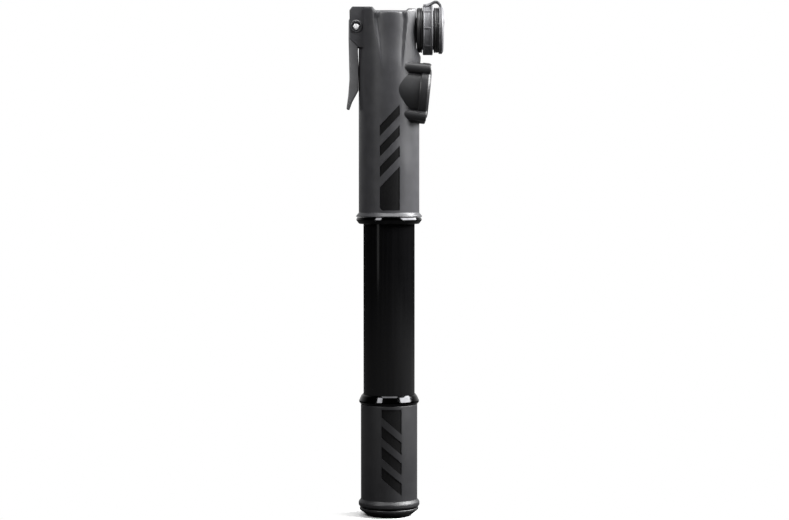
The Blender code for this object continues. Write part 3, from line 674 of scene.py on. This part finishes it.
def lever():
    """Thumb lever: a channel with a cam at its top and a thin upturned tip."""
    cam = []
    for i in range(25):
        angle = math.pi / 2 * i / 24
        radius = (3.8 + 2.0 * i / 24) * MM
        cam.append((PIN.x + radius * math.cos(angle), PIN.z + radius * math.sin(angle)))
    heel = arc((PIN.x, PIN.z), 3.8 * MM, -70, -8, 8)
    crown = arc((PIN.x, PIN.z), 5.8 * MM, 97, 128, 6)
    blade = outline([
        (-22.0, 272.0), (-22.1, 262.0, 20), (-21.6, 240.0, 30),
        (-22.3, 231.0, 12), (-23.3, 223.7, 0.5),
        (-21.9, 223.4, 0.5), (-20.3, 227.8, 3),
        (-16.8, 234.2, 1.5), (-16.7, 247.0, 30),
        (-17.15, 256.0, 3), (-16.8, 262),
    ], False, 6)
    body = make("lever_channel", plate_form(heel + cam + crown + blade, -5.6 * MM, 5.6 * MM,
                                            0.35 * MM), 35)
    hollow = plate_form(outline([
        (-14.0, 226.5), (-14.0, 260.8), (-20.4, 260.8, 1),
        (-20.2, 240.0, 20), (-20.9, 231.5, 8), (-21.9, 226.5),
    ], True), -4.4 * MM, 4.4 * MM)
    hole = turned_form([(0, 8 * MM), (1.9 * MM, 8 * MM), (1.9 * MM, -8 * MM), (0, -8 * MM)], 48,
                       at=AT_PIN)
    cut(body, [("DIFFERENCE", hollow), ("DIFFERENCE", hole)], 35)
    place(body, LEVER_GREY, "lever", "moulded_grey", "thumb_lever")

    pin = outline([(0, 9.9), (1.55, 9.9, 0.25), (1.6, 0),
                   (1.55, -9.9, 0.25), (0, -9.9)])
    place(make("pin", turned_form(pin, 48, at=AT_PIN)), PIN_STEEL, "pump_head", "steel",
          "lever_pin")
    for name, node, low in (("bush_front", "lever_bush_front", -9.85 * MM),
                            ("bush_back", "lever_bush_back", 6.4 * MM)):
        high = low + 3.45 * MM
        ring = rounded([(2.4 * MM, high, 0.15 * MM), (2.4 * MM, low, 0.15 * MM),
                        (1.75 * MM, low, 0.1 * MM), (1.75 * MM, high, 0.1 * MM)], True)
        place(make(name, turned_form(ring, 48, True, AT_PIN)), MOULDED_BLACK, "pump_head",
              "moulded_black", node)


# ---------------------------------------------------------------- chuck and dust cap

def chuck():
    """Chuck nut with its grip ridges, the grommet inside and the plunger behind it."""
    profile = [(4.5 * MM, 28.1 * MM, 0.5 * MM), (11.3 * MM, 28.1 * MM, 0.4 * MM)]
    for low in (26.9, 25.7, 24.5):
        profile += [(12.3 * MM, (low + 0.9) * MM, 0.35 * MM), (12.3 * MM, (low + 0.15) * MM, 0.3 * MM),
                    (11.8 * MM, low * MM, 0.1 * MM)]
    profile += [(10.6 * MM, 24.35 * MM), (10.6 * MM, 18.2 * MM)]
    profile += [(12.2 * MM, 18.1 * MM, 0.2 * MM), (12.3 * MM, 17.4 * MM, 0.2 * MM),
                (11.7 * MM, 17.2 * MM, 0.1 * MM), (12.3 * MM, 17.0 * MM, 0.2 * MM),
                (12.1 * MM, 15.6 * MM, 0.3 * MM), (11.7 * MM, 15.2 * MM, 0.2 * MM)]
    profile += [(9.1 * MM, 15.2 * MM), (9.1 * MM, 26.0 * MM), (4.5 * MM, 26.0 * MM)]
    place(make("nut", turned_form(rounded(profile, True, 4), 128, True, AT_CHUCK)), MOULDED_BLACK,
          "pump_head", "moulded_black", "chuck_nut")
    grommet = outline([(5.3, 25.6, 0.4), (5.3, 17.0, 0.4),
                       (4.1, 17.0, 0.3), (4.1, 25.6, 0.5)], True)
    place(make("grommet", turned_form(grommet, 64, True, AT_CHUCK)), SEAL_RUBBER, "pump_head",
          "seal_rubber", "chuck_grommet")
    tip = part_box("chuck_plunger")[0].x
    plunger = rounded([
        (1.2 * MM, 8.0 * MM), (1.2 * MM, 14.4 * MM), (5.3 * MM, 14.4 * MM, 0.3 * MM),
        (5.3 * MM, 10.0 * MM, 0.4 * MM), (2.6 * MM, 8.6 * MM, 0.6 * MM),
        (2.6 * MM, -5.0 * MM, 0.3 * MM), (5.3 * MM, -5.6 * MM, 0.2 * MM),
        (5.3 * MM, -6.6 * MM, 0.1 * MM), (4.2 * MM, -6.6 * MM), (4.2 * MM, -9.2 * MM),
        (5.3 * MM, -9.2 * MM, 0.1 * MM), (5.3 * MM, -10.6 * MM, 0.3 * MM),
        (4.4 * MM, tip, 0.3 * MM), (0, tip),
    ])
    place(make("plunger_rod", turned_form([(0, 8.0 * MM)] + plunger, 64, at=AT_CHUCK)),
          MOULDED_BLACK, "plunger", "moulded_black", "chuck_plunger")


def dust_ring():
    """Soft ring on the nut: two lips, a channel between them and grip ribs across it."""
    profile = outline([
        (13.0, 23.9, 0.3), (13.6, 23.7, 0.3),
        (13.6, 22.9, 0.3), (13.1, 22.7, 0.2),
        (13.1, 19.3, 0.2), (13.5, 19.1, 0.2),
        (13.5, 18.7, 0.2), (13.1, 18.5, 0.2),
        (10.9, 18.5), (10.9, 23.9),
    ], True)
    forms = [turned_form(profile, 128, True, AT_CHUCK)]
    count = 8
    first = math.radians(178.5)       # from the back: almost straight in front
    for i in range(count):
        angle = first + TAU * i / count
        rib = flat_form(outline([(-0.7, -1.6), (0.7, -1.6),
                                 (0.45, 0.65, 0.3), (-0.45, 0.65, 0.3)],
                                True), 19.0 * MM, 23.2 * MM, 0.1 * MM)
        rib.transform(AT_CHUCK @ Matrix.Rotation(angle, 4, "Z") @ Matrix.Translation((0, 12.9 * MM, 0)))
        forms.append(rib)
    place(make("cap_ring", join_forms(forms)), SOFT_GREY, "dust_ring", "soft_grey",
          "dust_cap_ring")


def strap_sections():
    """The strap's middle line as (x, z, half thickness): ring, hinge, then down the cap."""
    top = CAP_HINGE.z - 0.72 * MM
    middle = rounded([
        (18.9 * MM, 280.0 * MM), (20.6 * MM, 280.2 * MM, 4 * MM), (23.6 * MM, 281.6 * MM, 4 * MM),
        (25.0 * MM, top + 0.1 * MM, 1.5 * MM), (26.4 * MM, top, 1.5 * MM),
        (28.0 * MM, 280.9 * MM, 2.5 * MM), (28.7 * MM, 278.3 * MM, 4 * MM),
        (29.75 * MM, 271.2 * MM, 6 * MM), (29.0 * MM, 265.5 * MM),
    ], False, 8)
    fine = []
    pitch = 0.35 * MM
    for (x, z), (next_x, next_z) in zip(middle, middle[1:]):
        pieces = max(1, round(math.hypot(next_x - x, next_z - z) / pitch))
        fine += [(x + (next_x - x) * i / pieces, z + (next_z - z) * i / pieces)
                 for i in range(pieces)]
    fine.append(middle[-1])
    return [(x, z, (0.6 + 0.25 * (1 - smoothstep(18.9 * MM, 23 * MM, x))) * MM) for x, z in fine]


def strap():
    """The flexible strap between ring and cap, one piece that curves over the hinge."""
    sections = strap_sections()
    form = bmesh.new()
    rings = []
    for i, (x, z, half_thick) in enumerate(sections):
        after = sections[min(i + 1, len(sections) - 1)]
        before = sections[max(i - 1, 0)]
        out = Vector((before[1] - after[1], 0, after[0] - before[0])).normalized()
        half_width = (3.4 + 1.2 * (1 - smoothstep(19 * MM, 23.5 * MM, x))) * MM
        section = rounded([(-half_width, -half_thick, 0.4 * MM), (half_width, -half_thick, 0.4 * MM),
                           (half_width, half_thick, 0.4 * MM), (-half_width, half_thick, 0.4 * MM)],
                          True, 3)
        rings.append([form.verts.new(Vector((x, y, z)) + out * thick) for y, thick in section])
    grid_faces(form, rings, False)
    form.faces.new(rings[0])
    form.faces.new(rings[-1])
    bmesh.ops.recalc_face_normals(form, faces=form.faces)
    piece = make("cap_strap", form)
    piece.data.materials.append(SOFT_GREY)
    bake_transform(piece)


def dust_lid():
    """Cap over the valve hole: a dished disc with a skirt round the nut and a short plug."""
    profile = outline([
        (0, 29.35), (5.0, 29.3, 3), (9.6, 29.4, 1),
        (10.6, 29.75, 0.4), (11.6, 29.7, 0.4),
        (12.9, 28.9, 0.4), (12.9, 28.1, 0.1),
        (12.75, 27.9), (12.9, 27.7, 0.1), (12.85, 27.2, 0.1),
        (12.55, 27.15), (12.5, 28.35), (3.6, 28.35, 0.3),
        (3.2, 26.4, 0.5), (0, 26.4),
    ], False, 5)
    place(make("cap_lid", turned_form(profile, 128, at=AT_CHUCK)), SOFT_GREY, "dust_lid",
          "soft_grey", "dust_cap")


# ---------------------------------------------------------------- gauge

def gauge_place(y, z):
    """Matrix on the gauge's front plane at (y, z) from its centre, local Z facing out."""
    return AT_GAUGE @ Matrix.Translation((-z, y, 0))


def gauge():
    """Gauge housing with four screw bosses, the bezel, lens, dial, scale and needle."""
    drum = outline([
        (0, -8.5), (14.1, -8.5), (14.1, -0.2, 0.2),
        (16.7, -0.2, 0.8), (16.7, -4.6, 0.2),
        (15.9, -4.7, 0.1), (15.8, -5.0, 0.1),
        (15.8, -16.6), (0, -16.6),
    ])
    housing = make("gauge_drum", turned_form(drum, 128, at=AT_GAUGE))
    boss = outline([(0, 0), (3.0, 0, 0.5), (3.0, -14.9, 2),
                    (0, -14.9)])
    hole = [(0, 1 * MM), (1.7 * MM, 1 * MM), (1.7 * MM, -2.4 * MM), (0, -2.4 * MM)]
    head = outline([(0, -1.5), (1.55, -1.5, 0.3), (1.55, -2.3),
                    (0, -2.3)])
    steps = []
    screws = []
    corners = [(y, z) for y in (-BOSS_Y, BOSS_Y) for z in (-BOSS_Z, BOSS_Z)]
    for y, z in corners:
        steps.append(("UNION", turned_form(boss, 48, at=gauge_place(y, z))))
    for y, z in corners:
        steps.append(("DIFFERENCE", turned_form(hole, 32, at=gauge_place(y, z))))
        screws.append(turned_form(head, 32, at=gauge_place(y, z)))
    cut(housing, steps)
    place(housing, MOULDED_BLACK, "pump_head", "moulded_black", "gauge_housing")
    place(make("screw_heads", join_forms(screws)), STEEL, "pump_head", "steel", "gauge_screw_1",
          "gauge_screw_2", "gauge_screw_3", "gauge_screw_4")
    bezel = outline([(13.8, -0.1, 0.5), (13.8, -3.4), (12.4, -3.4),
                     (12.4, 0.15, 0.1), (11.4, 0.3, 0.1),
                     (11.4, 0.75, 0.2), (12.8, 0.55, 0.7)], True)
    place(make("bezel", turned_form(bezel, 128, True, AT_GAUGE)), MOULDED_BLACK, "pump_head",
          "moulded_black", "gauge_bezel")
    lens_radius = 12.1 * MM
    crown = 0.4 * MM
    sag = 0.55 * MM
    thick = 0.8 * MM
    outer = [(lens_radius * i / 16, crown - sag * (i / 16) ** 2) for i in range(17)]
    inner = [(radius, height - thick) for radius, height in reversed(outer)]
    place(make("lens", turned_form(outer + inner, 96, at=AT_GAUGE)), CLEAR, "pump_head",
          "clear_lens", "gauge_lens")
    dial = outline([(13.7, -3.8, 0.1), (13.7, -4.6, 0.1),
                    (1.0, -4.6), (1.0, -3.8)], True)
    place(make("dial", turned_form(dial, 96, True, AT_GAUGE)), DIAL_WHITE, "pump_head",
          "dial_white", "gauge_dial")
    gauge_scale()
    gauge_needle()


def scale_angle(tick):
    """Angle of a small tick on the dial, clockwise from the top."""
    return math.radians(SCALE_START + SCALE_SWEEP * tick / SMALL_TICKS)


def tick_form(tick):
    """Printed line of the scale; it points at the dial's centre."""
    long_tick = tick % LONG_EVERY == 0
    half = 0.14 * MM if long_tick else 0.08 * MM
    inner = -0.9 * MM if long_tick else -0.3 * MM
    form = flat_form([(-half, inner), (half, inner), (half, 0.7 * MM), (-half, 0.7 * MM)],
                     -3.82 * MM, -3.77 * MM)
    angle = scale_angle(tick)
    radius = 10.9 * MM
    form.transform(gauge_place(radius * math.sin(angle), radius * math.cos(angle))
                   @ Matrix.Rotation(math.pi / 2 - angle, 4, "Z"))
    return form


def number_form(tick, text):
    """Printed number inside a long tick, upright on the dial."""
    curve = bpy.data.curves.new("number", "FONT")
    curve.body = text
    curve.size = 2.5 * MM
    curve.align_x = "CENTER"
    curve.align_y = "CENTER"
    curve.extrude = 0.02 * MM
    label = bpy.data.objects.new("number", curve)
    bpy.context.scene.collection.objects.link(label)
    graph = bpy.context.evaluated_depsgraph_get()
    mesh = bpy.data.meshes.new_from_object(label.evaluated_get(graph))
    bpy.data.objects.remove(label)
    angle = scale_angle(tick)
    radius = 8.2 * MM
    upright = gauge_place(radius * math.sin(angle), radius * math.cos(angle))
    mesh.transform(upright @ Matrix.Translation((0, 0, -3.79 * MM))
                   @ Matrix.Rotation(math.pi / 2, 4, "Z"))
    form = bmesh.new()
    form.from_mesh(mesh)
    bpy.data.meshes.remove(mesh)
    return form


def gauge_scale():
    """Printed ticks and plain numbers of the dial."""
    forms = [tick_form(tick) for tick in range(SMALL_TICKS + 1)]
    for i in range(SMALL_TICKS // LONG_EVERY + 1):
        forms.append(number_form(i * LONG_EVERY, str(2 * i)))
    place(make("dial_scale", join_forms(forms)), PRINT_BLACK, "pump_head", "moulded_black")


def gauge_needle():
    """Pointer with a counterweight tail and a round hub."""
    pointer = flat_form(outline([
        (-0.9, 3.2, 0.4), (0.9, 3.2, 0.4), (0.45, 0),
        (0.12, -10.0), (-0.12, -10.0), (-0.45, 0),
    ], True), -3.0 * MM, -2.7 * MM, 0, AT_GAUGE @ Matrix.Rotation(math.radians(45), 4, "Z"))
    hub = turned_form(outline([(0, -2.4), (1.4, -2.4, 0.3),
                               (1.5, -3.2), (0, -3.2)]), 48, at=AT_GAUGE)
    place(make("needle", join_forms([pointer, hub])), NEEDLE_RED, "needle", "needle_red",
          "gauge_needle")


# ---------------------------------------------------------------- barrel, rod and handle

def barrel():
    """Barrel tube, the collar under the head, the rod guide and the rod."""
    high = BARREL_HIGH.z
    low = BARREL_LOW.z
    tube = rounded([(BARREL_RADIUS, high), (BARREL_RADIUS, low, 0.2 * MM), (12.6 * MM, low),
                    (12.6 * MM, high)], True)
    place(make("barrel_tube", turned_form(tube, 160, True)), GLOSS_BLACK, "pump_head",
          "gloss_black", "barrel")
    collar = rounded([
        (17.6 * MM, 164.5 * MM, 0.1 * MM), (18.1 * MM, 163.1 * MM, 0.35 * MM),
        (16.6 * MM, 161.1 * MM, 0.3 * MM),
        (16.2 * MM, 160.9 * MM, 0.1 * MM), (BODY_BORE, 160.9 * MM, 0.2 * MM),
        (BODY_BORE, 164.5 * MM),
    ], True)
    place(make("upper_collar", turned_form(collar, 160, True)), DARK_CHROME, "pump_head",
          "gloss_black", "barrel_collar")
    guide_low, guide_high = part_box("rod_guide")
    guide = rounded([
        (12.3 * MM, guide_high.z), (12.3 * MM, low - 0.3 * MM), (13.9 * MM, low - 0.3 * MM, 0.2 * MM),
        (13.9 * MM, guide_low.z, 0.4 * MM), (5.2 * MM, guide_low.z, 0.3 * MM),
        (3.9 * MM, guide_low.z + 1.2 * MM, 0.3 * MM), (3.9 * MM, guide_high.z),
    ], True)
    place(make("guide", turned_form(guide, 128, True)), MOULDED_BLACK, "pump_head",
          "moulded_black", "rod_guide")
    rod_low, rod_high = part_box("piston_rod")
    piston_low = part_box("piston")[0].z
    shaft = rounded([(0, rod_high.z), (3.0 * MM, rod_high.z, 0.3 * MM),
                     (3.0 * MM, piston_low - 0.3 * MM), (3.6 * MM, piston_low - 0.3 * MM),
                     (3.6 * MM, rod_low.z, 0.3 * MM), (0, rod_low.z)])
    place(make("rod", turned_form(shaft, 64)), STEEL, "plunge", "steel", "piston_rod")


def handle():
    """Handle sleeve with its stripe recesses and inlays, and the collar."""
    low = SLEEVE_LOW.z
    high = SLEEVE_HIGH.z
    bore = 14.7 * MM
    sleeve = rounded([
        (HANDLE_RADIUS, high, 0.5 * MM), (HANDLE_RADIUS, 9.9 * MM), (HANDLE_RADIUS, 9.2 * MM, 1.0 * MM),
        (16.6 * MM, 7.9 * MM, 0.8 * MM), (16.8 * MM, 7.3 * MM, 0.4 * MM), (16.8 * MM, 5.9 * MM, 0.4 * MM),
        (16.3 * MM, low, 0.3 * MM), (bore, low), (bore, high),
    ], True)
    body = make("handle_grip", turned_form(sleeve, 160, True))
    cut(body, [("DIFFERENCE", stripe_cutter(HANDLE_STRIPES, HANDLE_RADIUS))])
    place(body, HANDLE_BLACK, "handle", "moulded_black", "handle_sleeve")
    stripe_inlays("handle_grip_inlays", HANDLE_STRIPES, HANDLE_RADIUS, "handle")
    collar = outline([
        (14.6, 67.1, 0.15), (15.3, 66.3, 0.2),
        (15.45, 65.96), (16.3, 64.04),
        (16.45, 63.7, 0.2), (16.5, 62.9, 0.4),
        (15.8, 61.9, 0.2), (14.45, 61.9), (14.45, 67.1),
    ], True)
    place(make("lower_collar", turned_form(collar, 160, True)), DARK_CHROME, "handle",
          "gloss_black", "handle_collar")


def selector():
    """Notched selector cap on the handle's end, with a flat face that the pump stands on."""
    profile = outline([
        (0, 4.9), (2.7, 4.9), (2.7, 4.5), (16.0, 4.5, 0.2),
        (16.2, 4.2, 0.1), (16.2, 3.3, 0.4), (12.3, 0.3, 0.6),
        (11.5, 0, 0.3), (0, 0),
    ])
    cap = make("selector_dial", turned_form(profile, 160))
    count = 10
    notches = []
    for i in range(count):
        notch = turned_form(outline([(0, 3.0), (2.5, 3.0, 0.5),
                                     (2.5, -1), (0, -1)]), 32)
        notch.transform(Matrix.Rotation(TAU * i / count, 4, "Z") @ Matrix.Translation(
            (16.9 * MM, 0, 0)))
        notches.append(notch)
    cut(cap, [("DIFFERENCE", join_forms(notches))])
    place(cap, MOULDED_BLACK, "selector", "moulded_black", "selector_cap")


def inner_pieces():
    """Materials of the CAD nodes that stay: seals, valve parts, brass and the end plug."""
    looks = {
        MOULDED_BLACK: ("valve_block", "piston", "handle_end_plug"),
        SEAL_RUBBER: ("plunger_seal", "valve_block_seal", "check_valve", "rod_guide_seal",
                      "rod_seal", "piston_seal"),
        BRASS: ("bourdon_tube", "gauge_port_tube", "needle_spindle", "selector_stem"),
    }
    for look, nodes in looks.items():
        for node in nodes:
            mesh = frame["nodes"][node].data
            mesh.materials.clear()
            mesh.materials.append(look)


# ---------------------------------------------------------------- stage, light, camera

def show_and_light(tree, shown, lighting, surface):
    """Let the camera see one shader, and every other ray meet another."""
    path = tree.nodes.new("ShaderNodeLightPath")
    chosen = tree.nodes.new("ShaderNodeMixShader")
    tree.links.new(path.outputs["Is Camera Ray"], chosen.inputs["Fac"])
    tree.links.new(lighting, chosen.inputs[1])
    tree.links.new(shown, chosen.inputs[2])
    tree.links.new(chosen.outputs["Shader"], surface)


def floor():
    """Pale floor that runs into the white background; it lights little from below."""
    form = bmesh.new()
    bmesh.ops.create_grid(form, x_segments=1, y_segments=1, size=30)
    thing = make("floor", form)
    made = bpy.data.materials.new("floor")
    made.use_nodes = True
    tree = made.node_tree
    tree.nodes.clear()
    output = tree.nodes.new("ShaderNodeOutputMaterial")
    pale = tree.nodes.new("ShaderNodeBsdfDiffuse")
    pale.inputs["Color"].default_value = (0.9, 0.9, 0.9, 1)
    white = tree.nodes.new("ShaderNodeEmission")
    white.inputs["Color"].default_value = (1, 1, 1, 1)
    dim = tree.nodes.new("ShaderNodeBsdfDiffuse")
    dim.inputs["Color"].default_value = (0.04, 0.04, 0.04, 1)
    distance = tree.nodes.new("ShaderNodeVectorMath")
    distance.operation = "LENGTH"
    geometry = tree.nodes.new("ShaderNodeNewGeometry")
    tree.links.new(geometry.outputs["Position"], distance.inputs[0])
    fade = tree.nodes.new("ShaderNodeMapRange")
    fade.interpolation_type = "SMOOTHSTEP"
    fade.inputs["From Min"].default_value = FLOOR_FADE[0]
    fade.inputs["From Max"].default_value = FLOOR_FADE[1]
    tree.links.new(distance.outputs["Value"], fade.inputs["Value"])
    shown = tree.nodes.new("ShaderNodeMixShader")
    tree.links.new(fade.outputs["Result"], shown.inputs["Fac"])
    tree.links.new(pale.outputs["BSDF"], shown.inputs[1])
    tree.links.new(white.outputs["Emission"], shown.inputs[2])
    show_and_light(tree, shown.outputs["Shader"], dim.outputs["BSDF"], output.inputs["Surface"])
    thing.data.materials.append(made)


def world():
    """White background; the room that the pump reflects is dark in front, pale behind."""
    made = bpy.data.worlds.new("studio")
    bpy.context.scene.world = made
    made.use_nodes = True
    tree = made.node_tree
    tree.nodes.clear()
    output = tree.nodes.new("ShaderNodeOutputWorld")
    shown = tree.nodes.new("ShaderNodeBackground")
    shown.inputs["Color"].default_value = (1, 1, 1, 1)
    room = tree.nodes.new("ShaderNodeBackground")
    coordinates = tree.nodes.new("ShaderNodeTexCoord")
    split = tree.nodes.new("ShaderNodeSeparateXYZ")
    tree.links.new(coordinates.outputs["Generated"], split.inputs["Vector"])
    depth = tree.nodes.new("ShaderNodeMapRange")
    depth.interpolation_type = "SMOOTHSTEP"
    depth.inputs["From Min"].default_value = 0.1
    depth.inputs["From Max"].default_value = 0.95
    depth.inputs["To Min"].default_value = 0.03
    depth.inputs["To Max"].default_value = 0.75
    tree.links.new(split.outputs["Y"], depth.inputs["Value"])
    tree.links.new(depth.outputs["Result"], room.inputs["Strength"])
    show_and_light(tree, shown.outputs["Background"], room.outputs["Background"],
                   output.inputs["Surface"])


def softbox(name, azimuth, elevation, distance, width, height, power):
    """Area light aimed at the pump; azimuth from the camera's side towards +X, in degrees."""
    light = bpy.data.lights.new(name, "AREA")
    light.shape = "RECTANGLE"
    light.size = width
    light.size_y = height
    light.energy = power
    lamp = bpy.data.objects.new(name, light)
    bpy.context.scene.collection.objects.link(lamp)
    turn = math.radians(azimuth)
    lift = math.radians(elevation)
    away = Vector((math.sin(turn) * math.cos(lift), -math.cos(turn) * math.cos(lift),
                   math.sin(lift)))
    lamp.location = LIGHT_TARGET + away * distance
    lamp.rotation_euler = away.to_track_quat("Z", "Y").to_euler()


def camera():
    """Camera level with the barrel's upper half, tipped slightly down."""
    lens = bpy.data.cameras.new("camera")
    lens.lens = FOCAL_LENGTH
    lens.sensor_width = SENSOR_WIDTH
    eye = bpy.data.objects.new("camera", lens)
    bpy.context.scene.collection.objects.link(eye)
    eye.location = CAMERA_PLACE
    eye.rotation_euler = Euler((math.radians(90 - CAMERA_TIP), 0, 0))
    bpy.context.scene.camera = eye


camera()
head()
lever()
chuck()
dust_ring()
strap()
dust_lid()
gauge()
barrel()
handle()
selector()
inner_pieces()
floor()
world()
for light_name, settings in LIGHTS.items():
    softbox(light_name, *settings)
bpy.context.scene.view_settings.view_transform = "Standard"
